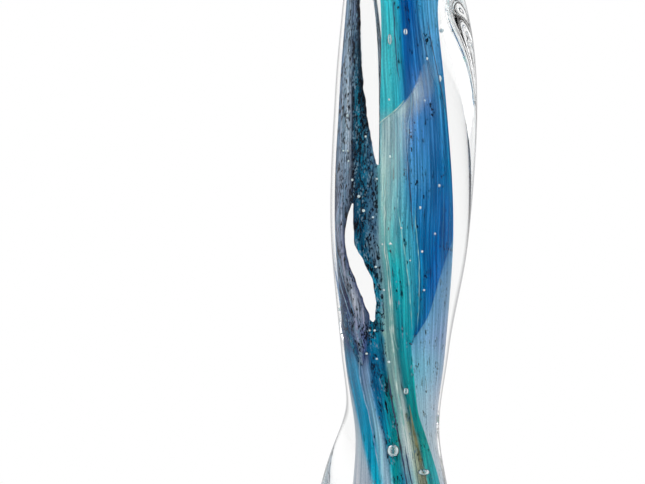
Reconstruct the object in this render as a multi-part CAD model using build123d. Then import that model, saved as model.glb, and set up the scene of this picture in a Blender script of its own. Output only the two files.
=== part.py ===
"""A tall twisted art glass vase, in millimetres.

The glass is built up as a glassblower builds it: a clear inner gather blown round a narrow
bore, a thin clear overlay that traps ribbons of coloured glass and a veil of opal glass, and
a thick clear casing that is drawn out into one long fin and twisted. A clear foot is fused
under it. +Z is up, the Z axis is the bore's axis, and the origin is the middle of the flat
face that the foot stands on. Ribbon angles are measured from the front, which is -Y, and
are positive towards +X.
"""

import os
from math import ceil, cos, radians, sin

from build123d import *

# Overall sizes
HEIGHT = 400.0
FOOT_HEIGHT = 9.0
FOOT_RADIUS = 37.0
FOOT_TOP_RADIUS = 35.5
FOOT_EDGE = 2.5
RIM_ROUND = 1.2

# Body outline: (height, radius) stations of the round part and of the fin's ridge
ROUND = [
    (9, 30.5), (35, 34.5), (72, 36.0), (108, 29.5), (145, 19.9), (166, 17.0), (195, 20.3),
    (249, 24.5), (295, 22.6), (329, 19.6), (364, 16.0), (385, 19.5), (400, 25.5),
]
RIDGE = [
    (9, 34.0), (35, 42.0), (72, 46.5), (108, 41.0), (145, 28.4), (177, 24.8), (234, 30.3),
    (287, 31.4), (329, 30.6), (364, 24.0), (385, 27.5), (400, 33.5),
]
FIN_SHARPNESS = 6

# Twist: a hot rod turns most where it is thinnest
TWIST_RATE = 0.71
TWIST_POWER = 3
TWIST_RADIUS = 24.5
FIN_AT_RIGHT = 286.0

# Outer face of the colour layer, and the bore, as (height, radius) stations
COLOUR = [
    (60, 21.0), (84, 21.5), (108, 18.0), (145, 12.3), (166, 10.6), (195, 12.6),
    (249, 15.2), (295, 14.0), (329, 12.2), (364, 10.0), (385, 14.6), (400, 22.0),
]
BORE = [
    (72, 10.5), (90, 11.5), (112, 8.5), (145, 4.4), (249, 4.2), (340, 4.4), (366, 5.4),
    (385, 10.2), (400, 18.4),
]
OVERLAY_FOOT = 26.0
GATHER_FOOT = 30.0
BORE_FOOT = 52.0

# Layers, as distances from the outer face of the colour layer
OVERLAY_OUTER = 1.8
VEIL_OUTER = 1.0
VEIL_INNER = 0.4
RIBBON_INNER = -1.6
GATHER_OUTER = -2.3

# How finely the lofts follow the formulas
HALF_POINTS = 14
SECTION_TURN = 13.0
SECTION_STEP = 12.0
PROFILE_STEP = 14.0
RIBBON_STEP = 8.0
RIBBON_POINTS = 6

# Each ribbon: (height, left edge, right edge) stations, top to bottom, in degrees
RIBBONS = {
    "navy_ribbon": [
        (391, -168, -137), (364, -150, -115), (329, -128, -86), (283, -134, -66),
        (260, -135, -62), (252, -135, -65), (245, -135, -77), (237, -134, -84),
        (230, -132, -77), (222, -129, -61), (215, -122, -50), (209, -111, -40),
        (204, -102, -39), (199, -83, -43), (195, -67, -50), (191, -60, -57),
    ],
    "petrol_ribbon": [
        (391, -134, -121), (364, -112, -98), (329, -83, -66), (306, -68, -55), (290, -64, -45),
        (272, -61, -31), (261, -60, -23), (245, -62, -22), (237, -60, -22), (230, -46, -20),
        (222, -32, -17), (215, -29, -16), (208, -31, -16), (204, -24, -16),
    ],
    "mint_ribbon": [
        (352, -34, -32), (329, -19, -14), (306, -20, -12), (287, -21, -4), (260, -21, -4),
        (238, -20, -11), (222, -15, -7), (198, -12, 0), (184, -6, 8), (173, 3, 16),
        (162, 10, 24), (145, 15, 32), (120, 28, 44), (95, 37, 53), (64, 46, 50),
    ],
    "teal_ribbon": [
        (391, -66, -42), (364, -40, -14), (329, -12, 12), (306, -10, 11), (287, -2, 11),
        (260, -2, 13), (242, -8, 24), (230, 7, 27), (214, 14, 30), (203, 19, 26),
    ],
    "emerald_ribbon": [
        (236, -8, -6), (228, -7, 4), (214, -2, 9), (203, 0.5, 13.5), (198, 2, 18), (184, 10, 30),
        (173, 22, 40), (162, 42, 62), (148, 52, 84), (120, 76, 107), (95, 86, 117),
        (62, 97, 101),
    ],
    "amber_ribbon": [
        (172, 18, 20), (162, 27, 40), (148, 36, 49), (120, 48, 72), (95, 57, 82),
        (64, 66, 70),
    ],
    "cobalt_ribbon": [
        (391, -40, 3), (364, -12, 28), (329, 14, 50), (306, 13, 56), (291, 13, 82),
        (270, 15, 111), (255, 19, 115), (242, 28, 106), (234, 30, 80), (214, 34, 53),
        (202, 29, 33),
    ],
    "steel_ribbon": [
        (391, 6, 38), (364, 31, 66), (329, 53, 93), (306, 59, 105), (291, 86, 117),
        (272, 115, 123), (264, 119, 121),
    ],
    "lilac_ribbon": [
        (248, 117, 122), (242, 110, 125), (234, 84, 126), (224, 67, 127), (210, 55, 128),
        (198, 29, 127), (184, 34, 126), (173, 44, 125), (162, 66, 126), (148, 88, 129),
        (120, 111, 144), (95, 121, 154), (62, 133, 138),
    ],
    "cerulean_ribbon": [
        (207, -128, -123), (203, -122, -107), (196, -116, -83), (190, -109, -66),
        (182, -96, -61),
        (173, -86, -50), (162, -68, -38), (145, -37, -21), (120, -15, 3), (95, -6, 12),
        (62, 4, 8),
    ],
    "orchid_ribbon": [
        (195, -48, -44), (190, -54, -44), (182, -56, -43), (173, -46, -36), (162, -35, -21),
        (145, -18, -8), (120, 6, 17), (95, 16, 27), (64, 24, 27),
    ],
    "indigo_ribbon": [
        (203, -37, -30), (200, -39, -20), (194, -42, -15), (184, -41, -9),
        (173, -34, 0), (162, -19, 7), (145, -5, 12), (120, 20, 25), (104, 30, 32),
    ],
    "mist_ribbon": [
        (200, -128, -125), (186, -137, -110), (173, -142, -90), (162, -142, -72),
        (145, -136, -41), (120, -124, -19), (95, -114, -10), (62, -76, -56),
    ],
    "aqua_ribbon": [
        (391, 41, 80), (364, 69, 108), (329, 96, 140), (306, 108, 148), (283, 126, 152),
        (242, 129, 157), (211, 131, 158), (173, 129, 168), (145, 134, 184), (120, 148, 196),
        (95, 158, 204), (62, 172, 180),
    ],
    "midnight_ribbon": [
        (391, 83, 118), (364, 111, 148), (329, 143, 180), (283, 155, 186), (242, 160, 188),
        (198, 162, 190), (173, 172, 204), (145, 188, 218), (120, 200, 232), (95, 208, 240),
        (62, 220, 228),
    ],
}
VEIL = [
    (344, 62, 66), (329, 53, 90), (308, 44, 102), (296, 28, 82), (287, 4, 60),
    (281, -20, 52), (270, -20, 38), (258, -20, 27), (244, -16, 20), (228, -2, 5),
]


def smooth(stations, height, column=1):
    """One column of stations at a height, on a cubic that never swings past them."""
    rows = sorted(stations)
    z = [row[0] for row in rows]
    v = [row[column] for row in rows]
    height = min(max(height, z[0]), z[-1])
    i = max(j for j in range(len(z) - 1) if z[j] <= height)
    slopes = [(v[j + 1] - v[j]) / (z[j + 1] - z[j]) for j in range(len(z) - 1)]

    def tangent(j):
        if j == 0 or j == len(slopes):
            return slopes[min(j, len(slopes) - 1)]
        before, after = slopes[j - 1], slopes[j]
        return 2 * before * after / (before + after) if before * after > 0 else 0.0

    span = z[i + 1] - z[i]
    t = (height - z[i]) / span
    return (
        (2 * t**3 - 3 * t**2 + 1) * v[i]
        + (t**3 - 2 * t**2 + t) * span * tangent(i)
        + (3 * t**2 - 2 * t**3) * v[i + 1]
        + (t**3 - t**2) * span * tangent(i + 1)
    )


def twist_rate(height):
    """Degrees of turn per millimetre of height."""
    return TWIST_RATE * (TWIST_RADIUS / smooth(ROUND, height)) ** TWIST_POWER


def turn(height, step=0.5):
    """The fin's direction at a height, in degrees from +X."""
    count = max(1, ceil(abs(height - FIN_AT_RIGHT) / step))
    dz = (height - FIN_AT_RIGHT) / count
    return -dz * sum(twist_rate(FIN_AT_RIGHT + (i + 0.5) * dz) for i in range(count))


def section(height):
    """The casing's cross-section, round with one fin, as two matching halves."""
    ridge, body, heading = smooth(RIDGE, height), smooth(ROUND, height), turn(height)

    def at(angle, radius):
        way = radians(angle + heading)
        return Vector(radius * cos(way), radius * sin(way), height)

    def half(first, last):
        points = []
        for i in range(HALF_POINTS + 1):
            angle = first + (last - first) * i / HALF_POINTS
            fin = ((1 + cos(radians(angle))) / 2) ** FIN_SHARPNESS
            points.append(at(angle, body + (ridge - body) * fin))
        ends = [at(angle + 90, 1) - at(0, 0) for angle in (first, last)]
        return Edge.make_spline(points, tangents=ends)

    return Wire([half(-180, 0), half(0, 180)])


def section_heights():
    """Heights of the casing's sections, closer together where it twists faster."""
    heights = [FOOT_HEIGHT]
    while heights[-1] < HEIGHT:
        step = min(SECTION_STEP, SECTION_TURN / twist_rate(heights[-1]))
        heights.append(min(heights[-1] + step, HEIGHT))
    if heights[-1] - heights[-2] < SECTION_STEP / 4:
        heights.pop(-2)
    return heights


def round_body(stations, foot, offset=0.0):
    """A turned solid up to the rim: a wall through the stations and a round bottom."""
    low, radius = stations[0]
    count = round((HEIGHT - low) / PROFILE_STEP)
    heights = [low + (HEIGHT - low) * i / count for i in range(count + 1)]
    wall = Spline(*[(smooth(stations, z) + offset, z) for z in heights])
    base = Spline((radius + offset, low), (0, foot), tangents=[-(wall % 0), (-1, 0)])
    lid = Line(wall @ 1, (0, HEIGHT))
    axis = Line((0, HEIGHT), (0, foot))
    return revolve(Plane.XZ * make_face([wall, base, lid, axis]), Axis.Z)


def ribbon(stations, inner, outer):
    """A curved strip between two radii of the colour layer, following its two edges."""
    low, high = stations[-1][0], stations[0][0]
    levels = [RIBBON_STEP * i for i in range(ceil(HEIGHT / RIBBON_STEP))]
    heights = [low] + [z for z in levels if low + 1 < z < high - 1] + [high]
    wires = []
    for z in heights:
        left, right = (smooth(stations, z, column) - 90 for column in (1, 2))
        radius = smooth(COLOUR, z)
        front = arc(radius + outer, left, right, z)
        back = arc(radius + inner, right, left, z)
        sides = [Edge.make_line(front @ 1, back @ 0), Edge.make_line(back @ 1, front @ 0)]
        wires.append(Wire([front, sides[0], back, sides[1]]))
    return Solid.make_loft(wires)


def arc(radius, first, last, height):
    """A level arc about the Z axis."""
    points = []
    for i in range(RIBBON_POINTS + 1):
        way = radians(first + (last - first) * i / RIBBON_POINTS)
        points.append(Vector(radius * cos(way), radius * sin(way), height))
    return Edge.make_spline(points)


def foot():
    """The clear foot: a disc with a soft heel, ground and polished flat beneath."""
    side = Spline(
        (FOOT_RADIUS, FOOT_EDGE), (FOOT_TOP_RADIUS, FOOT_HEIGHT), tangents=[(0, 1), (-0.6, 1)]
    )
    heel = CenterArc((FOOT_RADIUS - FOOT_EDGE, FOOT_EDGE), FOOT_EDGE, -90, 90)
    base = Line((FOOT_RADIUS - FOOT_EDGE, 0), (0, 0))
    axis = Line((0, 0), (0, FOOT_HEIGHT))
    top = Line((0, FOOT_HEIGHT), (FOOT_TOP_RADIUS, FOOT_HEIGHT))
    return revolve(Plane.XZ * make_face([side, heel, base, axis, top]), Axis.Z)


def rim_edges(shape):
    """The edges of a shape that lie in the plane of the rim."""
    return shape.edges().filter_by_position(Axis.Z, HEIGHT - 0.01, HEIGHT + 0.01)


def save(shape, name):
    """Write one node's STEP file."""
    export_step(shape, f"parts/{name}.step")
    print(name, round(shape.volume), "mm3,", len(shape.solids()), "solid,", shape.is_valid)


def main():
    os.makedirs("parts", exist_ok=True)
    pieces = {
        name: ribbon(edges, RIBBON_INNER, 0.0) for name, edges in RIBBONS.items()
    }
    pieces["frost_veil"] = ribbon(VEIL, VEIL_INNER, VEIL_OUTER)

    overlay_core = round_body(COLOUR, OVERLAY_FOOT, OVERLAY_OUTER)
    gather_core = round_body(COLOUR, GATHER_FOOT, GATHER_OUTER)
    overlay = overlay_core - gather_core
    for piece in list(pieces.values()):
        overlay = overlay - piece
    pieces["clear_overlay"] = overlay

    gather = gather_core - round_body(BORE, BORE_FOOT)
    lip = rim_edges(gather).sort_by(SortBy.LENGTH)[0]
    pieces["inner_gather"] = gather.fillet(RIM_ROUND, [lip])

    body = Solid.make_loft([section(z) for z in section_heights()])
    pieces["outer_casing"] = body - overlay_core
    pieces["foot"] = foot()
    for name, piece in pieces.items():
        save(piece, name)


main()
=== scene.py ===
"""A tall twisted art glass vase: clear cased glass over ribbons of colour, on a pale floor."""

from math import asin, ceil, cos, degrees, pi, radians, sin

import bpy
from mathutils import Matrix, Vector, noise


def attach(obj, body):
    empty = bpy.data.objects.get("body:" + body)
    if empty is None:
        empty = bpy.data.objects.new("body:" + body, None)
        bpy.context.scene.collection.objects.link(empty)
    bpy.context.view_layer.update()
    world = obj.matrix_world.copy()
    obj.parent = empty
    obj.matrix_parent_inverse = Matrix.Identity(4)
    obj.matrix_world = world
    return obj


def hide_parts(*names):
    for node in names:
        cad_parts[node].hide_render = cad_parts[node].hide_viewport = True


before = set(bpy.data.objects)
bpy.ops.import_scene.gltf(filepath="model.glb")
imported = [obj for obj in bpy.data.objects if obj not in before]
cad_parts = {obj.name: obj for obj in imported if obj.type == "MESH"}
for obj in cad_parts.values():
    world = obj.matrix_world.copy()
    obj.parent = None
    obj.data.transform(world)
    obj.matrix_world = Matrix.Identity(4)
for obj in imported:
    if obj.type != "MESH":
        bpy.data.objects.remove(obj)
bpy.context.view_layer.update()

MM = 0.001

# Body outline and layers, as in the CAD: (height, radius) stations in millimetres
HEIGHT = 400.0
ROUND = [
    (9, 30.5), (35, 34.5), (72, 36.0), (108, 29.5), (145, 19.9), (166, 17.0), (195, 20.3),
    (249, 24.5), (295, 22.6), (329, 19.6), (364, 16.0), (385, 19.5), (400, 25.5),
]
RIDGE = [
    (9, 34.0), (35, 42.0), (72, 46.5), (108, 41.0), (145, 28.4), (177, 24.8), (234, 30.3),
    (287, 31.4), (329, 30.6), (364, 24.0), (385, 27.5), (400, 33.5),
]
COLOUR = [
    (60, 21.0), (84, 21.5), (108, 18.0), (145, 12.3), (166, 10.6), (195, 12.6),
    (249, 15.2), (295, 14.0), (329, 12.2), (364, 10.0), (385, 14.6), (400, 22.0),
]
BORE = [
    (72, 10.5), (90, 11.5), (112, 8.5), (145, 4.4), (249, 4.2), (340, 4.4), (366, 5.4),
    (385, 10.2), (400, 18.4),
]
BORE_FOOT = 52.0
FIN_SHARPNESS = 6
TWIST_RATE = 0.71
TWIST_RADIUS = 24.5
FIN_AT_RIGHT = 286.0
RIBBON_THICKNESS = 1.6
VEIL_INNER = 0.4
VEIL_OUTER = 1.0

# How the colour streaks drift round the axis with height, in degrees
FLOW = [
    (62, 48), (95, 45), (120, 36), (145, 23.5), (162, 17), (173, 9.5), (184, 1), (198, -6),
    (222, -11), (238, -15), (260, -12.5), (287, -12.5), (306, -16), (329, -16.5), (345, -25),
    (364, -41), (391, -67),
]

# Each ribbon: (height, left edge, right edge) stations, top to bottom, in degrees
RIBBONS = {
    "navy_ribbon": [
        (391, -158, -137), (364, -140, -115), (329, -117, -86), (283, -122, -66),
        (260, -135, -62), (252, -135, -65), (245, -135, -77), (237, -134, -84),
        (230, -132, -77), (222, -129, -61), (215, -122, -50), (209, -111, -40),
        (204, -102, -39), (199, -83, -43), (195, -67, -50), (191, -60, -57),
    ],
    "petrol_ribbon": [
        (391, -134, -121), (364, -112, -98), (329, -83, -66), (306, -68, -55), (290, -64, -45),
        (272, -61, -31), (261, -60, -23), (245, -62, -22), (237, -60, -22), (230, -46, -20),
        (222, -32, -17), (215, -29, -16), (208, -31, -16), (204, -24, -16),
    ],
    "mint_ribbon": [
        (352, -34, -32), (329, -19, -14), (306, -20, -12), (287, -21, -4), (260, -21, -4),
        (238, -20, -11), (222, -15, -7), (198, -12, 0), (184, -6, 8), (173, 3, 16),
        (162, 10, 24), (145, 15, 32), (120, 28, 44), (95, 37, 53), (64, 46, 50),
    ],
    "teal_ribbon": [
        (391, -66, -42), (364, -40, -14), (329, -12, 12), (306, -10, 11), (287, -2, 11),
        (260, -2, 13), (242, -8, 24), (230, 7, 27), (214, 13, 30), (199, 21.5, 24),
    ],
    "emerald_ribbon": [
        (236, -8, -6), (228, -7, 4), (214, -2, 9), (198, 2, 18), (184, 10, 30),
        (173, 22, 40), (162, 42, 62), (148, 52, 84), (120, 76, 107), (95, 86, 117),
        (62, 97, 101),
    ],
    "amber_ribbon": [
        (172, 18, 20), (162, 27, 40), (148, 36, 49), (120, 48, 72), (95, 57, 82),
        (64, 66, 70),
    ],
    "cobalt_ribbon": [
        (391, -40, 3), (364, -12, 28), (329, 14, 50), (306, 13, 56), (291, 13, 82),
        (270, 15, 111), (255, 19, 115), (242, 28, 106), (234, 30, 80), (214, 34, 53),
        (202, 29, 33),
    ],
    "steel_ribbon": [
        (391, 6, 38), (364, 31, 66), (329, 53, 93), (306, 59, 105), (291, 86, 117),
        (272, 115, 123), (264, 119, 121),
    ],
    "lilac_ribbon": [
        (248, 117, 122), (242, 110, 125), (234, 84, 126), (224, 67, 127), (210, 55, 128),
        (198, 29, 127), (184, 34, 126), (173, 44, 125), (162, 66, 126), (148, 88, 129),
        (120, 111, 144), (95, 121, 154), (62, 133, 138),
    ],
    "cerulean_ribbon": [
        (213, -124, -120), (203, -121, -106), (196, -116, -83), (190, -109, -66),
        (182, -96, -61),
        (173, -86, -50), (162, -68, -38), (145, -37, -21), (120, -15, 3), (95, -6, 12),
        (62, 4, 8),
    ],
    "orchid_ribbon": [
        (195, -48, -44), (190, -54, -44), (182, -56, -43), (173, -46, -36), (162, -35, -21),
        (145, -18, -8), (120, 6, 17), (95, 16, 27), (64, 24, 27),
    ],
    "indigo_ribbon": [
        (207, -37, -33), (204, -37, -27), (200, -39, -17), (194, -42, -15), (184, -41, -9),
        (173, -34, 0), (162, -19, 7), (145, -5, 12), (120, 20, 25), (104, 30, 32),
    ],
    "mist_ribbon": [
        (200, -128, -125), (186, -137, -110), (173, -142, -90), (162, -142, -72),
        (145, -136, -41), (120, -124, -19), (95, -114, -10), (62, -76, -56),
    ],
    "aqua_ribbon": [
        (391, 41, 80), (364, 69, 108), (329, 96, 140), (306, 108, 148), (283, 126, 152),
        (242, 129, 157), (211, 131, 158), (173, 129, 168), (145, 134, 184), (120, 148, 196),
        (95, 158, 204), (62, 172, 180),
    ],
    "midnight_ribbon": [
        (391, 83, 118), (364, 111, 148), (329, 143, 180), (283, 155, 186), (242, 160, 188),
        (198, 162, 190), (173, 172, 204), (145, 188, 218), (120, 200, 232), (95, 208, 240),
        (62, 220, 228),
    ],
}
VEIL = [
    (344, 62, 66), (329, 53, 90), (308, 44, 102), (296, 28, 82), (287, 4, 60),
    (281, -20, 52), (270, -20, 38), (258, -20, 27), (244, -16, 20), (228, -2, 5),
]

# The colours across each ribbon, left to right, at heights from top to bottom
PAINT = {
    "navy_ribbon": [
        (391, "b8cce0 8cacd0 6488b4 8cacd0 5c7ca4 34506c"),
        (329, "b0c8dc 6c90b8 5c80a8 8caccc a0c0dc 203450"),
        (283, "90acc8 486c94 6080a8 b4cce4 bcd4ec 1c2c44"),
        (250, "1c3050 34486c 283850 8494b4 88a0c0 101824"),
        (232, "1c2c50 243858 6484a8 1c2440 94a0c0 2c3860"),
        (215, "14243c 1c3858 182e5c 141c44 bcc4d8 1c2858"),
        (200, "0c4464 0c6488 2c4c7c 94a0c4 50609c 0c3450"),
    ],
    "petrol_ribbon": [
        (391, "20304c 30506c 14202e"), (329, "50627e 62789a 0a0e16"),
        (306, "3a4a66 285068 0a101a"), (290, "141c2c 0a6484 0a1e2c"),
        (262, "0c1c30 0a5c80 4a7090"), (244, "082c48 0a4c6c 5c80a4"),
        (230, "0878a0 0a4260 84a4bc"), (218, "0a6c94 1a7090 6aa4b4"), (208, "0c5070 2a8098 6aa0a8"),
    ],
    "mint_ribbon": [
        (352, "2cb8cc 38c0d0"), (306, "34c0d0 4cccd8"), (288, "30c0d0 44ccd8"),
        (281, "64bcc8 78c8cc"), (258, "74c8cc 64bcc8"), (240, "7cc0bc 50b0b4"),
        (222, "6cacac 48a4a8"), (198, "84b4ac 7cb0a4"), (184, "84b8b4 b4d4c8"),
        (173, "70bcc0 dcf0e8"), (162, "b4dce0 e8f4f0"), (145, "2c8cbc 94ccd0"), (95, "38a4c8 88ccd0"),
    ],
    "teal_ribbon": [
        (391, "24bcd4 38c8dc 149cc8"), (329, "24c4d8 38c8dc 1498c8"), (306, "30ccdc 44c8d8 1494c8"),
        (288, "34ccdc 2cb4d0 2c8cc8"), (278, "7cd8e0 60c0dc 4c98d0"), (255, "74d4dc 58bcd8 3c94d0"),
        (238, "34b4bc 44b0c8 2c94c8"), (222, "1caab4 34a8c4 1890c0"), (205, "10a4ac 18a0b8 1088b4"),
    ],
    "emerald_ribbon": [
        (236, "24aab0 28aab4"), (222, "089cac 18a4b4"), (198, "08989c 1c98b0"),
        (184, "088a90 0e949c"), (173, "087c80 088c8c"), (160, "0c7c78 189c98"), (146, "1c9090 1ca8b8"),
        (95, "0e8488 1c94b0"),
    ],
    "amber_ribbon": [
        (172, "a0b090 88a088"), (160, "a8c4ac 98a080"), (146, "88a48c 988a60"), (95, "6c9080 78745a"),
    ],
    "cobalt_ribbon": [
        (391, "004c98 005098 2c80b8"), (329, "005098 004c9c 2c80b8"), (306, "004898 1c64b0 4c8cc4"),
        (291, "1060a8 4c7cc4 1484bc"), (280, "3c78c0 2c74bc 0078ac"), (262, "4088c8 0060a8 0080b0"),
        (250, "2478bc 0054a0 0070ac"), (238, "1070b4 00509c 0060a8"), (222, "0c7cb4 0054a4 145cac"),
        (208, "0c84b4 086cac 1860ac"),
    ],
    "steel_ribbon": [
        (391, "3484c0 4c94c8 4c90c4"), (329, "3484c4 4c98cc 3c88bc"), (306, "4488c4 3c7cb8 1870a4"),
        (291, "3c84c0 147cb8 0c74a8"), (264, "0c7cac 0c7cac 0c7cac"),
    ],
    "lilac_ribbon": [
        (248, "3484b8 54a0c0 64acc4"), (234, "3c7cc0 64a0cc 64acc8"), (218, "5490c8 7ca8d0 80b8cc"),
        (202, "60a4d4 84a8dc a4b4e0"), (190, "64bcdc 88bce4 b0c4e8"), (173, "94d0e8 b8d4f0 dce0f2"),
        (160, "bcdcee d8e8f6 f0eff6"), (145, "cce0f2 dce8f6 f2f1f8"), (62, "98bcd8 acc4e4 c0cce8"),
    ],
    "cerulean_ribbon": [
        (213, "0c3c60 0c3c60 0c3050"), (200, "0a5880 0c3c60 3a4a78"), (190, "0880b4 0c7cb0 3c84b4"),
        (173, "1094cc 0888bc 0c88bc"), (160, "1ca0d0 0894c8 189ac8"), (145, "24acd4 08a0c8 0ca4cc"),
        (62, "1c98c4 0c8cb8 1090bc"),
    ],
    "orchid_ribbon": [
        (196, "283460 405078"), (186, "8ca4d0 6c9cc8"), (173, "84c0e4 78b8dc"), (160, "74c8e8 9ccce8"),
        (145, "98d0ec a8d0f0"), (64, "84bce0 9cc4e4"),
    ],
    "indigo_ribbon": [
        (204, "0470a0 0480a8 085068"), (192, "046ca4 045c8c 084868"), (182, "046cac 045c88 087468"),
        (173, "046cb0 047ca0 08a498"), (160, "0474ac 049ca4 10b0a4"), (145, "10a0b8 08a4a0 18a0c8"),
        (104, "189cb8 109c9c 189cc8"),
    ],
    "mist_ribbon": [
        (200, "b4bccc c0c8d8 98b8d0"), (173, "d4d6e0 d0dae6 90bcd8"), (160, "d8d8e0 d4dce8 a4cce0"),
        (145, "d8d8e0 d4dae6 b4c8e0"), (62, "c8ccd8 c4d0dc a8c0d8"),
    ],
    "aqua_ribbon": [
        (391, "c4e4ee d4e8f2 e0ecf4"), (283, "a0d0e4 c0dcec d4e4f2"), (242, "68b4d4 84c0dc b0d0e8"),
        (188, "50a8cc 4c9cc8 4890c0"), (158, "b8dcec cce4f0 dceaf4"), (62, "c4e0ec d4e6f0 e0eaf4"),
    ],
    "midnight_ribbon": [
        (391, "e4ecf4 e8eef6 e8eef4"), (283, "e0eaf4 e8eef6 e8eef4"), (242, "ccdcee d8e4f2 dce4f0"),
        (205, "4478b4 3c68a4 5c84b8"), (176, "4878b0 4470ac 6490c0"), (158, "d0deee dce6f2 e4eaf4"),
        (62, "d4e0ee e0e8f2 e4eaf4"),
    ],
    "frost_veil": [
        (344, "9cc0dc b0c8e0"), (300, "a8c8dc 94b4dc"), (281, "c4e8e4 9cb8e0"), (258, "b8e8dc a0c4e0"),
        (228, "a8dcd0 a0c8d8"),
    ],
}


def smooth(stations, height, column=1):
    """One column of stations at a height, on a cubic that never swings past them."""
    rows = sorted(stations)
    z = [row[0] for row in rows]
    v = [row[column] for row in rows]
    height = min(max(height, z[0]), z[-1])
    i = max(j for j in range(len(z) - 1) if z[j] <= height)
    slopes = [(v[j + 1] - v[j]) / (z[j + 1] - z[j]) for j in range(len(z) - 1)]

    def tangent(j):
        if j == 0 or j == len(slopes):
            return slopes[min(j, len(slopes) - 1)]
        before, after = slopes[j - 1], slopes[j]
        return 2 * before * after / (before + after) if before * after > 0 else 0.0

    span = z[i + 1] - z[i]
    t = (height - z[i]) / span
    return (
        (2 * t**3 - 3 * t**2 + 1) * v[i]
        + (t**3 - 2 * t**2 + t) * span * tangent(i)
        + (3 * t**2 - 2 * t**3) * v[i + 1]
        + (t**3 - t**2) * span * tangent(i + 1)
    )


def turn_table(step=0.5):
    """The fin's direction, in degrees from +X, at every step of height."""
    count = round(HEIGHT / step)
    rates = [TWIST_RATE * (TWIST_RADIUS / smooth(ROUND, (i + 0.5) * step)) ** 3 for i in range(count)]
    table = [0.0]
    for rate in rates:
        table.append(table[-1] - rate * step)
    zero = table[round(FIN_AT_RIGHT / step)]
    return [value - zero for value in table], step


TURNS, TURN_STEP = turn_table()


def turn(height):
    place = min(max(height, 0.0), HEIGHT - 1e-6) / TURN_STEP
    i = int(place)
    return TURNS[i] + (TURNS[i + 1] - TURNS[i]) * (place - i)


def linear(code):
    """A hex sRGB colour as linear values."""
    parts = [int(code[i:i + 2], 16) / 255 for i in (0, 2, 4)]
    return [c / 12.92 if c <= 0.04045 else ((c + 0.055) / 1.055) ** 2.4 for c in parts]


def painted(table, height, across):
    """The colour of a ribbon at a height and a fraction across."""
    rows = [(z, [linear(code) for code in codes.split()]) for z, codes in table]
    rows.sort()

    def pick(colours):
        place = min(max(across, 0.0), 1.0) * (len(colours) - 1)
        i = min(int(place), len(colours) - 2)
        t = place - i
        return [a + (b - a) * t for a, b in zip(colours[i], colours[i + 1])]

    height = min(max(height, rows[0][0]), rows[-1][0])
    for (z0, low), (z1, high) in zip(rows, rows[1:]):
        if height <= z1:
            t = (height - z0) / (z1 - z0)
            t = t * t * (3 - 2 * t)
            return [a + (b - a) * t for a, b in zip(pick(low), pick(high))]
    return pick(rows[-1][1])


def ripple(seed, height, scale):
    """A gentle repeatable wander between -1 and 1."""
    return noise.noise(Vector((seed * 7.31, height * scale, seed * 3.17)))


def held(value):
    """A value kept between 0 and 1."""
    return min(1.0, max(0.0, value))


def new_object(name, verts, faces, material):
    """A smooth mesh piece from points in millimetres, riding on the one body."""
    mesh = bpy.data.meshes.new(name)
    mesh.from_pydata([tuple(c * MM for c in v) for v in verts], [], faces)
    mesh.validate()
    mesh.update()
    for polygon in mesh.polygons:
        polygon.use_smooth = True
    piece = bpy.data.objects.new(name, mesh)
    bpy.context.scene.collection.objects.link(piece)
    mesh.materials.append(material)
    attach(piece, "root")
    return piece


# Materials

GLASS_IOR = 1.5
# The clear glass's own faint tint, then the painted shade its colour turns to along the outline, where it
# is seen edge on
GLASS_TINT, GLASS_PAINTED_EDGE_SHADE = (0.935, 0.938, 0.936), (0.05, 0.055, 0.065)
FAINT_REFLECTION = (0.1, 0.1, 0.1, 1)
# Bubbles: a painted reflection in silvery white, and the dark painted shade round their edges
PAINTED_SILVER_REFLECTION, BUBBLE_RIM_PAINTED_SHADE = (0.84, 0.98, 0.99), (0.02, 0.07, 0.10)
BLACK, WHITE = (0, 0, 0), (1, 1, 1)
PALE_FIBRE = (0.018, 0.11, 0.16, 1)
SMOKE, CHAR, CHIP = (0.006, 0.010, 0.022, 1), (0.004, 0.007, 0.014, 1), (0.20, 0.38, 0.52, 1)
TRANSLUCENCE = 0.25
CLOTTED = 0.5

# Fibre layers: (across, along, detail, offset) of the noise, then the values and shades it runs between
FIBRES = [
    ((45, 1.6, 3, 3.1), 0.36, 0.64, (0.42, 0.56, 0.66), (1.40, 1.32, 1.26)),
    ((130, 2.2, 4, 8.4), 0.38, 0.64, (0.34, 0.50, 0.60), (1.65, 1.50, 1.40)),
    ((210, 1.1, 2, 44.0), 0.60, 0.68, WHITE, (0.30, 0.42, 0.50)),
]


def grey(value):
    return (value, value, value)


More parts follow.
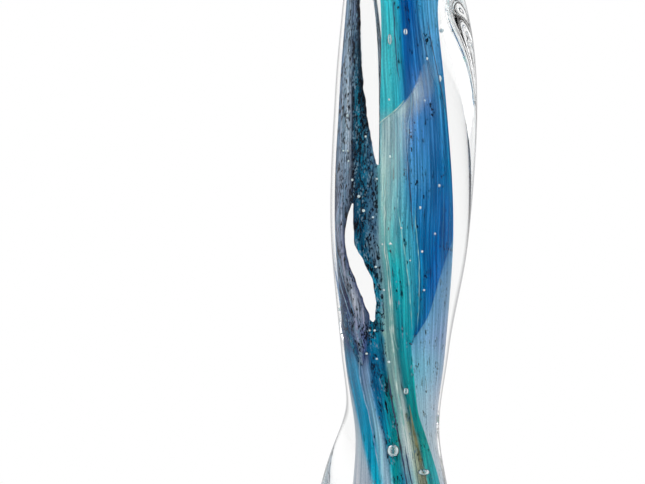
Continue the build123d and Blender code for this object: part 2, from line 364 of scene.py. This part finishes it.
class Graph:
    """A material's node tree, with the calls that every material here repeats."""

    def __init__(self, name):
        self.material = bpy.data.materials.new(name)
        self.material.use_nodes = True
        self.tree = self.material.node_tree
        self.tree.nodes.clear()

    def feed(self, socket, value):
        """Link an output to a socket, or set the socket to a plain value."""
        if isinstance(value, bpy.types.NodeSocket):
            self.tree.links.new(value, socket)
        else:
            socket.default_value = value

    def add(self, kind, inputs=None, **settings):
        """A node with its settings made and its inputs, by name or number, fed."""
        node = self.tree.nodes.new("ShaderNode" + kind)
        for key, value in settings.items():
            setattr(node, key, value)
        for key, value in (inputs or {}).items():
            self.feed(node.inputs[key], value)
        return node

    def math(self, operation, *values):
        return self.add("Math", dict(enumerate(values)), operation=operation).outputs["Value"]

    def ramp(self, source, low, high, first, last):
        """A colour that runs from first to last as the source goes from low to high."""
        node = self.add("ValToRGB", {"Fac": source})
        for i, (place, colour) in enumerate(((low, first), (high, last))):
            node.color_ramp.elements[i].position = place
            node.color_ramp.elements[i].color = (*colour, 1)
        return node.outputs["Color"]

    def mix(self, kind, factor, under, over):
        """One colour laid over another."""
        inputs = {0: factor, 6: under, 7: over}
        return self.add("Mix", inputs, data_type="RGBA", blend_type=kind).outputs[2]

    def blend(self, factor, under, over):
        """One shader laid over another."""
        return self.add("MixShader", {"Fac": factor, 1: under, 2: over}).outputs["Shader"]

    def facing(self):
        """0 where the surface faces the eye, 1 where it's seen edge on."""
        return self.add("LayerWeight", {"Blend": 0.5}).outputs["Facing"]

    def finished(self, shader):
        """The material, with a shader as its surface."""
        self.add("OutputMaterial", {"Surface": shader})
        return self.material


def clear_glass(name):
    """Thick clear glass whose colour greys in a fine line along its outline: a painted shade where the
    outer side is seen edge on.
    """
    graph = Graph(name)
    # Painted shade: the glass's colour turns grey where its outer side is seen edge on
    outside = graph.math("SUBTRACT", 1.0, graph.add("NewGeometry").outputs["Backfacing"])
    edge_shade_mask = graph.math("MULTIPLY", graph.facing(), outside)
    shader = graph.add("BsdfPrincipled", {
        "Base Color": graph.ramp(edge_shade_mask, 0.70, 0.83, GLASS_TINT, GLASS_PAINTED_EDGE_SHADE),
        "Transmission Weight": 1.0,
        "IOR": GLASS_IOR,
        "Roughness": 0.0,
        "Specular Tint": FAINT_REFLECTION,
    })
    return graph.finished(shader.outputs["BSDF"])


def bubble_air(name, middle, sides):
    """Air inside glass: see-through in the middle, with a painted reflection of silvery white at the sides
    and a dark painted shade round its edge.
    """
    graph = Graph(name)
    facing = graph.facing()
    normal = graph.add("NewGeometry").outputs["Normal"]
    up = graph.add("SeparateXYZ", {"Vector": normal}).outputs["Z"]
    # How much of the painted colour covers the air: the painted reflection by how the surface slopes and
    # how far from facing the eye it is, and the painted shade round the edge
    level = graph.ramp(graph.math("MULTIPLY", up, up), 0.10, 0.45, grey(sides), grey(middle))
    off_centre = graph.ramp(facing, 0.07, 0.16, grey(middle), WHITE)
    painted_rim_shade = graph.ramp(facing, 0.46, 0.58, BLACK, grey(0.9))
    cover = graph.math("MAXIMUM", graph.math("MULTIPLY", level, off_centre), painted_rim_shade)
    painted_reflection = graph.add("BsdfPrincipled", {
        "Base Color": graph.ramp(facing, 0.42, 0.54, PAINTED_SILVER_REFLECTION, BUBBLE_RIM_PAINTED_SHADE),
        "Roughness": 0.25,
    })
    air = graph.add("BsdfGlass", {"IOR": 1 / GLASS_IOR, "Roughness": 0.0})
    return graph.finished(graph.blend(cover, air.outputs["BSDF"], painted_reflection.outputs["BSDF"]))


def thread_glass(name, pale, deep):
    """A thin drawn thread of glass, uneven along its length."""
    graph = Graph(name)
    place = graph.add("TexCoord").outputs["Object"]
    mottle = graph.add("TexNoise", {"Vector": place, "Scale": 260.0, "Detail": 3.0}).outputs["Fac"]
    shader = graph.add("BsdfPrincipled", {
        "Base Color": graph.ramp(mottle, 0.38, 0.62, linear(deep), linear(pale)),
        "Roughness": 0.3,
    })
    return graph.finished(shader.outputs["BSDF"])


def streaked_glass(name, fibre, speckle=0.0, alpha=None):
    """Coloured glass drawn into fine fibres, with dark flecks where the colour was crushed."""
    graph = Graph(name)
    flow = graph.add("UVMap", uv_map="flow").outputs["UV"]
    fade = graph.add("Attribute", attribute_name="fade").outputs["Fac"]

    def placed(across, along, offset, slant):
        inputs = {"Vector": flow, "Scale": (across, along, 1), "Location": (offset, offset * slant, 0)}
        return graph.add("Mapping", inputs).outputs["Vector"]

    def streaks(across, along, detail, offset, rough=0.6):
        """Noise drawn out along the flow."""
        place = placed(across, along, offset, 1.7)
        inputs = {"Vector": place, "Scale": 1.0, "Detail": detail, "Roughness": rough}
        return graph.add("TexNoise", inputs).outputs["Fac"]

    def crushed(across, along, offset):
        """A value for each small crushed grain, higher where the grains gather in clusters."""
        cells = graph.add("TexVoronoi", {"Vector": placed(across, along, offset, 1.3), "Scale": 1.0})
        grain = graph.add("SeparateColor", {"Color": cells.outputs["Color"]}).outputs["Red"]
        return graph.math("MULTIPLY_ADD", grain, 0.42, streaks(26, 9, 3, offset + 5))

    colour = graph.add("VertexColor", layer_name="tint").outputs["Color"]
    for pattern, low, high, first, last in FIBRES:
        shade = graph.ramp(streaks(*pattern), low, high, first, last)
        colour = graph.mix("MULTIPLY", fibre, colour, shade)
    pale = graph.ramp(streaks(120, 1.4, 2, 15.2), 0.60, 0.70, BLACK, WHITE)
    colour = graph.mix("SCREEN", pale, colour, PALE_FIBRE)
    grain = graph.ramp(streaks(260, 150, 2, 61.0), 0.35, 0.65, (0.78, 0.82, 0.84), (1.18, 1.15, 1.13))
    colour = graph.mix("MULTIPLY", 0.8, colour, grain)
    if speckle:
        flecks = [
            (streaks(95, 14, 5, 37.5, 0.75), 0.60 - 0.09 * speckle, 0.05, 0.85, SMOKE),
            (crushed(240, 95, 21.7), 1.0 - 0.19 * speckle, 0.02, 0.95, CHAR),
        ]
        if speckle > CLOTTED:
            flecks.append((crushed(125, 46, 91.3), 1.0 - 0.14 * speckle, 0.02, 0.95, CHAR))
        flecks.append((crushed(260, 110, 71.7), 1.02 - 0.15 * speckle, 0.02, 0.8, CHIP))
        for source, low, softness, cover, fleck in flecks:
            mask = graph.ramp(source, low, low + softness, BLACK, grey(cover))
            colour = graph.mix("MIX", mask, colour, fleck)
    shader = graph.add("BsdfPrincipled", {
        "Base Color": colour, "Roughness": 0.35, "Specular IOR Level": 0.0,
    })
    if alpha:
        least, most = alpha
        cover = graph.ramp(streaks(80, 1.5, 3, 31.0), 0.3, 0.75, grey(least), grey(most))
        graph.feed(shader.inputs["Alpha"], graph.math("MULTIPLY", cover, fade))
        return graph.finished(shader.outputs["BSDF"])
    behind = graph.add("BsdfTranslucent", {"Color": colour}).outputs["BSDF"]
    solid = graph.blend(TRANSLUCENCE, shader.outputs["BSDF"], behind)
    strands = graph.ramp(streaks(30, 0.5, 4, 52.0), 0.34, 0.66, BLACK, WHITE)
    kept = graph.ramp(graph.math("MULTIPLY_ADD", fade, 1.25, strands), 0.86, 1.22, BLACK, WHITE)
    clear = graph.add("BsdfTransparent").outputs["BSDF"]
    return graph.finished(graph.blend(kept, clear, solid))


# The clear body: outer skin, lip, bore and foot, as one skin of glass

COLUMNS = 192
FOOT_PROFILE = [
    (5, 0.0), (12, 0.0), (22, 0.0), (29, 0.0), (34.0, 0.0), (34.9, 0.12), (35.8, 0.6), (36.5, 1.3),
    (36.9, 2.0), (37.0, 2.6), (36.9, 4.0), (36.7, 5.4), (36.4, 6.6), (36.0, 7.6), (35.6, 8.3),
    (35.1, 8.8), (34.8, 9.0),
]
FOOT_TOP = 9.0
LIP_ROUND, MOUTH_ROUND = 2.4, 2.0
WELL_TOP = 72
BODY_STEP, BORE_STEP = 1.3, 2.0


def body_row(height, inset=0.0):
    """One ring of the outer skin."""
    body, ridge, heading = smooth(ROUND, height), smooth(RIDGE, height), turn(height)
    row = []
    for i in range(COLUMNS):
        angle = 2 * pi * i / COLUMNS
        fin = ((1 + cos(angle)) / 2) ** FIN_SHARPNESS
        radius = body + (ridge - body) * fin - inset
        way = angle + radians(heading)
        row.append((radius * cos(way), radius * sin(way), height))
    return row


def round_row(radius, z, heading):
    """One ring of a round surface, its points in step with the skin's."""
    ways = [2 * pi * i / COLUMNS + radians(heading) for i in range(COLUMNS)]
    return [(radius * cos(way), radius * sin(way), z) for way in ways]


def mixed_row(a, b, t, z):
    return [(p[0] + (q[0] - p[0]) * t, p[1] + (q[1] - p[1]) * t, z) for p, q in zip(a, b)]


def quarter(count, first, last):
    """The angles of a quarter turn cut into count parts, from the first mark to the last."""
    return [pi / 2 * part / count for part in range(first, last + 1)]


def clear_body():
    low, top = turn(FOOT_TOP), turn(HEIGHT)
    rows = [round_row(radius, z, low) for radius, z in FOOT_PROFILE]
    join = body_row(FOOT_TOP)
    for t, z in ((0.5, 9.02), (0.85, 9.12)):
        rows.append(mixed_row(rows[len(FOOT_PROFILE) - 1], join, t, z))
    z = 9.5
    while z < HEIGHT - LIP_ROUND:
        rows.append(body_row(z))
        z += BODY_STEP
    for t in quarter(7, 0, 7):
        rows.append(body_row(HEIGHT - LIP_ROUND + LIP_ROUND * sin(t), LIP_ROUND * (1 - cos(t))))
    lip = rows[-1]
    mouth = smooth(BORE, HEIGHT)
    edge = round_row(mouth + MOUTH_ROUND, HEIGHT, top)
    for t in (0.25, 0.5, 0.75, 1.0):
        rows.append(mixed_row(lip, edge, t, HEIGHT))
    for t in quarter(6, 1, 6):
        z = HEIGHT - MOUTH_ROUND * (1 - cos(t))
        narrowing = (mouth - smooth(BORE, z)) * t / (pi / 2)
        rows.append(round_row(mouth + MOUTH_ROUND * (1 - sin(t)) - narrowing, z, top))
    z = HEIGHT - MOUTH_ROUND - 1.5
    while z > WELL_TOP:
        rows.append(round_row(smooth(BORE, z), z, top))
        z -= BORE_STEP
    well_depth = WELL_TOP - BORE_FOOT
    for t in quarter(9, 0, 8):
        rows.append(round_row(smooth(BORE, WELL_TOP) * cos(t), WELL_TOP - well_depth * sin(t), top))
    verts = [v for row in rows for v in row]
    faces = []
    for r in range(len(rows) - 1):
        for i in range(COLUMNS):
            j = (i + 1) % COLUMNS
            a, b = r * COLUMNS, (r + 1) * COLUMNS
            faces.append((a + i, a + j, b + j, b + i))
    bottom, well = len(verts), len(verts) + 1
    verts += [(0, 0, 0), (0, 0, BORE_FOOT)]
    last = (len(rows) - 1) * COLUMNS
    for i in range(COLUMNS):
        j = (i + 1) % COLUMNS
        faces.append((bottom, j, i))
        faces.append((well, last + i, last + j))
    return new_object("clear_glass", verts, faces, clear_glass("clear_cased_glass"))


# The ribbons of colour. An edge that comes near a neighbour's meets it halfway, so that the layer
# closes; open pairs keep clear glass between them, and crisp pairs meet without running together.

OPEN_PAIRS = [
    {"navy_ribbon", "petrol_ribbon"}, {"petrol_ribbon", "mint_ribbon"}, {"petrol_ribbon", "teal_ribbon"},
    {"navy_ribbon", "midnight_ribbon"}, {"mist_ribbon", "midnight_ribbon"},
]
CRISP_PAIRS = [
    {"cobalt_ribbon", "lilac_ribbon"}, {"emerald_ribbon", "lilac_ribbon"},
    {"navy_ribbon", "petrol_ribbon"},
]
DARK_PAIR = {"navy_ribbon", "petrol_ribbon"}
BACK_PAIR = {"aqua_ribbon", "midnight_ribbon"}
RIBBON_LOOKS = {
    "navy_ribbon": dict(fibre=0.85, speckle=0.70),
    "petrol_ribbon": dict(fibre=0.7, speckle=0.95),
    "mint_ribbon": dict(fibre=0.5),
    "teal_ribbon": dict(fibre=0.75, speckle=0.10),
    "emerald_ribbon": dict(fibre=0.8, speckle=0.30),
    "amber_ribbon": dict(fibre=0.75, speckle=0.25),
    "cobalt_ribbon": dict(fibre=0.9, speckle=0.12),
    "steel_ribbon": dict(fibre=0.85, speckle=0.10),
    "lilac_ribbon": dict(fibre=0.42, speckle=0.14),
    "cerulean_ribbon": dict(fibre=0.6, speckle=0.15),
    "orchid_ribbon": dict(fibre=0.6),
    "indigo_ribbon": dict(fibre=0.8, speckle=0.6),
    "mist_ribbon": dict(fibre=0.3),
    "aqua_ribbon": dict(fibre=0.6, alpha=(0.75, 1.0)),
    "midnight_ribbon": dict(fibre=0.6, speckle=0.3, alpha=(0.75, 1.0)),
}
VEIL_LOOK = dict(fibre=0.55, alpha=(0.15, 0.85))

# How raggedly an edge is torn, in degrees
TORN = {"navy_ribbon": 1.6, "petrol_ribbon": 1.8, "indigo_ribbon": 1.2, "cerulean_ribbon": 0.4}
HARDLY_TORN, VEIL_TORN = 0.15, 0.2

RIBBON_COLUMNS = 24
ROW_STEP = 1.0
SWAY = 0.6
OVERLAP = 0.3
SOFT_EDGE = 6.0
END_TAPER = 6
LAYER_STEP = 0.025
FLOW_RADIUS, FLOW_UNIT = 13, 100
TRAPPED_LIGHT = 0.5
PALEST = 0.97
INNER_TONE, INNER_SHARE = (0.80, 0.84, 0.86), 0.9

# The clear gap, in degrees, that two neighbours close: the dark pair high up, any pair near the
# foot, an open pair, and the rest
DARK_GAP, DARK_ABOVE = 12.0, 268
FOOT_GAP, FOOT_BELOW, FOOT_OVER = 24.0, 104, 24
OPEN_GAP, CLOSED_GAP = 4.5, 16.0

# How much further out the colour lies on the fin's side: (height, millimetres), and where round
SWELL = [(391, 0), (364, 0.5), (329, 1.5), (290, 1.9), (237, 1.5), (207, 0.7), (177, 0), (60, 0)]
SWELL_AT, SWELL_SPREAD = 88, 62


def edges_at(name, z):
    """A ribbon's own left and right edges at a height, or None where it isn't."""
    stations = RIBBONS[name]
    if not stations[-1][0] <= z <= stations[0][0]:
        return None
    return smooth(stations, z, 1), smooth(stations, z, 2)


def reach(one, other, z):
    """The widest clear gap that two ribbons close between them, in degrees."""
    if {one, other} == DARK_PAIR and z > DARK_ABOVE:
        return DARK_GAP
    if z < FOOT_BELOW:
        return CLOSED_GAP + FOOT_GAP * min(1.0, (FOOT_BELOW - z) / FOOT_OVER)
    return OPEN_GAP if {one, other} in OPEN_PAIRS else CLOSED_GAP


def meeting(name, z, side):
    """The neighbour on one side of a ribbon, and the angle where the two meet."""
    left, right = edges_at(name, z)
    best = None
    for other in RIBBONS:
        span = edges_at(other, z) if other != name else None
        if span is None:
            continue
        for full in (-360, 0, 360):
            gap = left - (span[1] + full) if side == 0 else (span[0] + full) - right
            if -1 < gap < reach(name, other, z) and (best is None or gap < best[0]):
                middle = (left + span[1] + full) / 2 if side == 0 else (right + span[0] + full) / 2
                best = (gap, other, middle)
    return best[1:] if best else None


def wobble(one, other, z, sway, tear):
    """How far an edge wanders, from the names of the two ribbons on it."""
    seed = sum(map(ord, one + other)) * 0.013
    fray = ripple(seed + 2, z, 0.35) + 0.6 * ripple(seed + 4, z, 0.9)
    return sway * ripple(seed, z, 0.06) + tear * fray


def ribbon_span(name, stations, z, tear):
    """A ribbon's left and right edges at a height, and its neighbours there."""
    left, right = smooth(stations, z, 1), smooth(stations, z, 2)
    near = [meeting(name, z, side) if name in RIBBONS else None for side in (0, 1)]
    sway = SWAY * min(1.0, (right - left) / 12)
    shake = [wobble(name, met[0] if met else "open", z, sway, tear) for met in near]
    left = (near[0][1] - OVERLAP if near[0] else left) + shake[0]
    right = (near[1][1] + OVERLAP if near[1] else right) + shake[1]
    return left, right, near


def neighbour_tones(name, z, near):
    """The colours of the neighbours that a ribbon runs softly into, left and right."""
    tones = []
    for met, at_edge in zip(near, (1.0, 0.0)):
        runs = met and {name, met[0]} not in CRISP_PAIRS
        tones.append(painted(PAINT[met[0]], z, at_edge) if runs else None)
    return tones


def swell(alpha, z):
    """How much further out the colour lies on the fin's side, in millimetres."""
    around = held(1 - abs(alpha - SWELL_AT) / SWELL_SPREAD)
    return smooth(SWELL, z) * (around * around * (3 - 2 * around))


def veil_cover(z, u):
    """How strongly the veil shows: full at its upper left, thinning to the right and below."""
    down = held((z - 228) / 40)
    across = max(0.0, 1 - 1.55 * max(0.0, (u - 0.10) / 0.90))
    edge = min(1.0, u * 14, (1 - u) * 3 + 0.05)
    top = held((306 - z) / 14)
    return down * across * edge * top


def colour_left(name, z):
    """How much colour is left: every ribbon ends in wisps, and the two at the back thin out high up."""
    end = held((z - 62) / 38)
    return end * (0.06 + 0.94 * held((256 - z) / 40)) if name in BACK_PAIR else end


def inner_paleness(name, z):
    """How much paler the inner side is, which only the dark pair's is, high up."""
    return INNER_SHARE * held((z - 272) / 16) if name in DARK_PAIR else 0.0


def deepened(value):
    """The albedo that gives a linear colour once light has bounced about inside the glass."""
    return min(PALEST, value / (1 - TRAPPED_LIGHT + TRAPPED_LIGHT * value))


def slab_faces(count, cols):
    """The faces of a closed slab: a front grid of count by cols cells, then the same at the back."""
    wide = cols + 1
    offset = wide * (count + 1)
    faces = []
    for i in range(count):
        for j in range(cols):
            a = i * wide + j
            b = a + offset
            faces.append((a, a + 1, a + 1 + wide, a + wide))
            faces.append((b + wide, b + 1 + wide, b + 1, b))
    for i in range(count):
        a, b = i * wide, (i + 1) * wide
        faces.append((a, b, b + offset, a + offset))
        a, b = a + cols, b + cols
        faces.append((b, a, a + offset, b + offset))
    for j in range(cols):
        a, b = j, j + 1
        faces.append((b, a, a + offset, b + offset))
        a, b = count * wide + j, count * wide + j + 1
        faces.append((a, b, b + offset, a + offset))
    return faces


def ribbon_piece(name, stations, inner, outer, material, tear):
    """A closed slab of coloured glass that follows its stations round the gather."""
    low, high = stations[-1][0], stations[0][0]
    count = ceil((high - low) / ROW_STEP)
    order = list(RIBBONS).index(name) if name in RIBBONS else 0
    front, back, colours, flows, fades = [], [], [], [], []
    for i in range(count + 1):
        z = low + (high - low) * i / count
        left, right, near = ribbon_span(name, stations, z, tear)
        beyond = neighbour_tones(name, z, near)
        soft = min(SOFT_EDGE, (right - left) * 0.4)
        radius, drift = smooth(COLOUR, z) + LAYER_STEP * (order % 5), smooth(FLOW, z)
        taper = min(1.0, (z - low) / END_TAPER + 0.12, (high - z) / END_TAPER + 0.12)
        for j in range(RIBBON_COLUMNS + 1):
            u = j / RIBBON_COLUMNS
            alpha = left + (right - left) * u
            way = radians(alpha - 90)
            rounded = 1.0 if near[0 if u < 0.5 else 1] else max(0.04, 1 - abs(2 * u - 1) ** 8)
            middle = radius + (inner + outer) / 2 + swell(alpha, z)
            half = (outer - inner) / 2 * rounded * taper
            for r, side in ((middle + half, front), (middle - half, back)):
                side.append((r * cos(way), r * sin(way), z))
            tone = painted(PAINT[name], z, u)
            for distance, other in ((alpha - left, beyond[0]), (right - alpha, beyond[1])):
                if other and distance < soft:
                    share = 0.5 * (1 - distance / soft) ** 1.5
                    tone = [t + (o - t) * share for t, o in zip(tone, other)]
            colours.append(tone)
            flows.append((radians(alpha - drift) * FLOW_RADIUS / FLOW_UNIT, z / FLOW_UNIT))
            fades.append(veil_cover(z, u) if name == "frost_veil" else colour_left(name, z))
    faces = slab_faces(count, RIBBON_COLUMNS)
    piece = new_object(name + "_glass", front + back, faces, material)
    mesh = piece.data
    mesh.color_attributes.new("tint", "FLOAT_COLOR", "POINT")
    mesh.attributes.new("fade", "FLOAT", "POINT")
    mesh.uv_layers.new(name="flow")
    tint, fade, flow = mesh.color_attributes["tint"], mesh.attributes["fade"], mesh.uv_layers["flow"]
    offset = len(front)
    for k, vertex in enumerate(mesh.vertices):
        pale = inner_paleness(name, vertex.co.z / MM) if k >= offset else 0.0
        tone = [c + (inner_c - c) * pale for c, inner_c in zip(colours[k % offset], INNER_TONE)]
        tint.data[k].color = (*[deepened(c) for c in tone], 1)
        fade.data[k].value = fades[k % offset]
    for loop in mesh.loops:
        flow.data[loop.index].uv = flows[loop.vertex_index % offset]
    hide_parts(name)
    return piece


# Trapped bubbles

def sine_angle(value):
    """The angle in degrees that has a sine, stopping just short of edge on."""
    return degrees(asin(min(max(value, -0.999), 0.999)))


def apparent(offset, height, lift):
    """Where a point just above the colour layer sits, from how far off centre it looks."""
    body = smooth(ROUND, height)
    depth = smooth(COLOUR, height) + lift
    bending = sine_angle(offset / body) - sine_angle(offset / (GLASS_IOR * body))
    way = radians(bending + sine_angle(offset / (GLASS_IOR * depth)) - 90)
    return depth * cos(way), depth * sin(way)


# How far right of centre each looks, its height, width and length, in millimetres
BUBBLES = [
    (-1.7, 312.7, 1.5, 4.2), (4.7, 315.8, 1.5, 2.6), (20.3, 318.0, 1.0, 1.6), (18.4, 299.0, 1.2, 2.6),
    (-18.0, 284.2, 1.0, 1.3), (-19.5, 271.0, 0.8, 0.9), (-17.9, 270.9, 0.8, 0.9),
    (-17.6, 267.1, 0.8, 1.0), (-11.2, 276.2, 0.9, 1.0), (-16.2, 260.0, 1.0, 1.1),
    (-13.8, 253.8, 1.2, 1.2), (-12.0, 248.5, 1.3, 1.3), (-7.0, 260.3, 0.9, 0.9),
    (-2.4, 290.0, 0.7, 0.9), (-2.1, 268.6, 0.9, 1.3), (16.9, 258.0, 1.0, 1.3), (9.3, 249.6, 0.9, 1.3),
    (10.0, 233.3, 0.9, 1.0), (10.8, 218.9, 0.9, 0.9), (2.1, 242.0, 0.8, 0.9), (-4.4, 218.9, 0.9, 1.0),
    (-7.4, 227.6, 1.0, 1.0), (-7.8, 203.7, 1.0, 1.0), (-9.7, 203.7, 0.8, 0.8), (-10.8, 194.9, 1.1, 1.0),
    (-7.0, 193.0, 0.9, 0.9), (-2.5, 191.9, 1.2, 1.3), (4.0, 180.9, 1.8, 2.8), (-0.9, 158.1, 4.4, 5.0),
    (10.8, 149.7, 4.6, 2.6), (5.5, 230.0, 0.6, 0.7), (13.0, 306.0, 0.7, 1.2), (11.5, 290.0, 0.6, 0.8),
    (15.0, 240.0, 0.8, 1.0), (-5.0, 236.0, 0.7, 0.8), (-8.5, 246.0, 0.9, 0.9),
]


BUBBLE_RINGS, BUBBLE_SIDES = 10, 18
SEED_WIDTH = 1.45
WIDEST = 9


def egg(verts, faces, centre, width, length):
    """One closed egg, added to the points and faces."""
    x, y, z = centre
    rings, sides = BUBBLE_RINGS, BUBBLE_SIDES
    start = len(verts)
    verts.append((x, y, z + length / 2))
    for r in range(1, rings):
        polar = pi * r / rings
        across, up = width / 2 * sin(polar), length / 2 * cos(polar)
        for s in range(sides):
            way = 2 * pi * s / sides
            verts.append((x + across * cos(way), y + across * sin(way), z + up))
    verts.append((x, y, z - length / 2))
    end = len(verts) - 1
    for s in range(sides):
        t = (s + 1) % sides
        faces.append((start, start + 1 + s, start + 1 + t))
        faces.append((end, end - sides + t, end - sides + s))
    for r in range(rings - 2):
        a, b = start + 1 + r * sides, start + 1 + (r + 1) * sides
        for s in range(sides):
            t = (s + 1) % sides
            faces.append((a + s, b + s, b + t, a + t))


def bubble_piece(name, least, most, material):
    """Every trapped bubble whose width lies in a range, each a closed egg of air."""
    verts, faces = [], []
    for number, (offset, height, width, length) in enumerate(BUBBLES):
        if least <= width < most:
            lift = width / 2 + 0.75 if width > 2 else 1.6 + 0.4 * (number % 3)
            x, y = apparent(offset, height, lift)
            egg(verts, faces, (x, y, height), width, length)
    return new_object(name, verts, faces, material)


# Fine threads lying on the colour: look, width in mm, then (height, angle from the front) along it
THREADS = [
    ("cream", 0.55, [(280.6, -22), (281.6, -18), (282.6, -14), (284.2, -7), (286, 0), (288, 7), (290, 12)]),
    ("cream", 0.35, [(262, -12), (250, -13), (238, -13), (226, -10), (214, -7), (205, -5)]),
    ("cream", 0.45, [(222, -9), (212, -6), (203, -5), (195, -2), (186, 1), (178, 6), (170, 12), (160, 20)]),
    ("cream", 0.40, [(212, -9), (204, -7), (197, -3), (190, 0), (182, 3), (176, 8), (168, 16)]),
    ("cream", 0.30, [(236, -11), (228, -8), (220, -6), (211, -4), (203, -2), (196, 3)]),
    ("mint", 0.35, [(256, 0), (246, 4), (236, 9), (226, 14), (214, 19), (204, 22)]),
    ("mint", 0.30, [(250, 22), (238, 26), (226, 30), (214, 31), (205, 30)]),
    ("pale", 0.30, [(296, 22), (288, 20), (280, 16), (270, 14), (260, 13)]),
    ("slate", 0.35, [(330, 2), (318, 2), (306, 3), (296, 5)]),
    ("slate", 0.40, [(276, 14), (266, 15), (256, 17), (246, 19), (237, 22)]),
    ("slate", 0.35, [(318, 42), (308, 47), (300, 53), (293, 62)]),
    ("navy", 0.55, [(190, -12), (180, -7), (170, 0), (160, 8), (150, 14), (140, 20)]),
    ("navy", 0.45, [(160, 16), (152, 20), (146, 24), (138, 30), (128, 36)]),
    ("navy", 0.40, [(322, 52), (312, 57), (302, 62), (292, 70), (282, 78)]),
    ("olive", 0.55, [(170, 26), (162, 33), (155, 40), (148, 46), (140, 53), (130, 60)]),
    ("olive", 0.45, [(176, 22), (168, 30), (160, 38), (152, 46)]),
    ("pale", 0.45, [(196, -52), (188, -58), (180, -54), (172, -46), (162, -36), (150, -24)]),
    ("pale", 0.35, [(262, -72), (252, -78), (244, -92), (236, -96), (230, -86), (222, -74)]),
    ("pale", 0.40, [(240, -110), (230, -104), (222, -92), (214, -78), (206, -66)]),
    ("pale", 0.35, [(232, -92), (224, -82), (216, -70), (208, -58)]),
]
THREAD_LOOKS = {
    "cream": ("d8ece4", "88c4c0"), "mint": ("a0e0dc", "3cb4c0"), "pale": ("a4cce4", "4c90c4"),
    "slate": ("0c5484", "043054"), "navy": ("14406c", "061428"), "olive": ("8c8858", "40502c"),
}


THREAD_SIDES, THREAD_CUTS = 6, 60


def thread_piece(look):
    """All the threads of one look, as thin flattened tubes just above the colour."""
    verts, faces = [], []
    sides, count = THREAD_SIDES, THREAD_CUTS
    for number, (kind, width, stations) in enumerate(THREADS):
        if kind != look:
            continue
        first, last = stations[0][0], stations[-1][0]
        for i in range(count + 1):
            t = i / count
            z = first + (last - first) * t
            angle = smooth(stations, z) + 1.1 * ripple(number * 3.1, z, 0.22)
            radius = smooth(COLOUR, z) + 1.25 + 0.1 * (number % 3) + swell(angle, z)
            uneven = 1 + 0.45 * ripple(number * 1.7 + 5, z, 0.5)
            thick = width * min(1.0, 6 * t + 0.1, 6 * (1 - t) + 0.1) * uneven
            for s in range(sides):
                turned = 2 * pi * s / sides
                out = radius + 0.22 * thick * sin(turned)
                way = radians(angle + degrees(thick * 0.5 * cos(turned) / radius) - 90)
                verts.append((out * cos(way), out * sin(way), z))
        start = len(verts) - sides * (count + 1)
        end = start + count * sides
        for i in range(count):
            for s in range(sides):
                a, b = start + i * sides + s, start + i * sides + (s + 1) % sides
                faces.append((a, b, b + sides, a + sides))
        faces.append(tuple(start + s for s in range(sides)))
        faces.append(tuple(end + s for s in reversed(range(sides))))
    material = thread_glass(look + "_thread_glass", *THREAD_LOOKS[look])
    return new_object(look + "_threads", verts, faces, material)


# The stage, in metres

FLOOR_RADIUS, FLOOR_SIDES, FLOOR_LEVEL = 1.3, 96, -0.0004
FLOOR_GREY = 0.86
AIM = (0, 0, 0.2)

# Each lamp: name, place, size and power
LAMPS = [("key", (-0.9, -1.1, 1.3), 0.9, 14), ("fill", (1.2, -0.6, 0.9), 0.9, 8)]
CAMERA_PLACE = (-0.0274, -1.3617, 0.2367)
LENS, SENSOR = 200, 36

# Light passes dozens of glass surfaces in the fin and the foot, which would otherwise turn black
BOUNCES = 36


def stage_floor():
    graph = Graph("pale_floor")
    shader = graph.add("BsdfPrincipled", {"Base Color": (*grey(FLOOR_GREY), 1), "Roughness": 0.7})
    verts, faces = [(0, 0, FLOOR_LEVEL)], []
    for i in range(FLOOR_SIDES):
        way = 2 * pi * i / FLOOR_SIDES
        verts.append((FLOOR_RADIUS * cos(way), FLOOR_RADIUS * sin(way), FLOOR_LEVEL))
        faces.append((0, i + 1, (i + 1) % FLOOR_SIDES + 1))
    mesh = bpy.data.meshes.new("floor")
    mesh.from_pydata(verts, [], faces)
    mesh.materials.append(graph.finished(shader.outputs["BSDF"]))
    floor = bpy.data.objects.new("floor", mesh)
    bpy.context.scene.collection.objects.link(floor)


def studio():
    """White surroundings, two soft lamps and the camera."""
    scene = bpy.context.scene
    world = bpy.data.worlds.new("studio_white")
    world.use_nodes = True
    world.node_tree.nodes["Background"].inputs["Color"].default_value = (1, 1, 1, 1)
    world.node_tree.nodes["Background"].inputs["Strength"].default_value = 1.0
    scene.world = world
    scene.view_settings.view_transform = "Standard"
    scene.cycles.max_bounces = BOUNCES
    scene.cycles.transmission_bounces = BOUNCES
    scene.cycles.glossy_bounces = BOUNCES
    for name, place, size, power in LAMPS:
        lamp = bpy.data.lights.new(name, "AREA")
        lamp.energy = power
        lamp.size = size
        holder = bpy.data.objects.new(name, lamp)
        holder.location = place
        holder.rotation_euler = (Vector(AIM) - Vector(place)).to_track_quat("-Z", "Y").to_euler()
        scene.collection.objects.link(holder)
    lens = bpy.data.cameras.new("camera")
    lens.lens = LENS
    lens.sensor_width = SENSOR
    lens.clip_end = 50
    camera = bpy.data.objects.new("camera", lens)
    camera.location = CAMERA_PLACE
    camera.rotation_euler = (pi / 2, 0, 0)
    scene.collection.objects.link(camera)
    scene.camera = camera


body = clear_body()
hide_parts("outer_casing", "clear_overlay", "inner_gather", "foot")
for key, looks in RIBBON_LOOKS.items():
    ribbon_piece(key, RIBBONS[key], -RIBBON_THICKNESS, 0.0, streaked_glass(key + "_streaks", **looks),
                 TORN.get(key, HARDLY_TORN))
ribbon_piece("frost_veil", VEIL, VEIL_INNER, VEIL_OUTER, streaked_glass("frost_veil_streaks", **VEIL_LOOK),
             VEIL_TORN)
for look in THREAD_LOOKS:
    thread_piece(look)
bubble_piece("seed_bubbles", 0, SEED_WIDTH, bubble_air("seed_air", 0.85, 0.98))
bubble_piece("large_bubbles", SEED_WIDTH, WIDEST, bubble_air("large_air", 0.0, 1.0))
stage_floor()
studio()
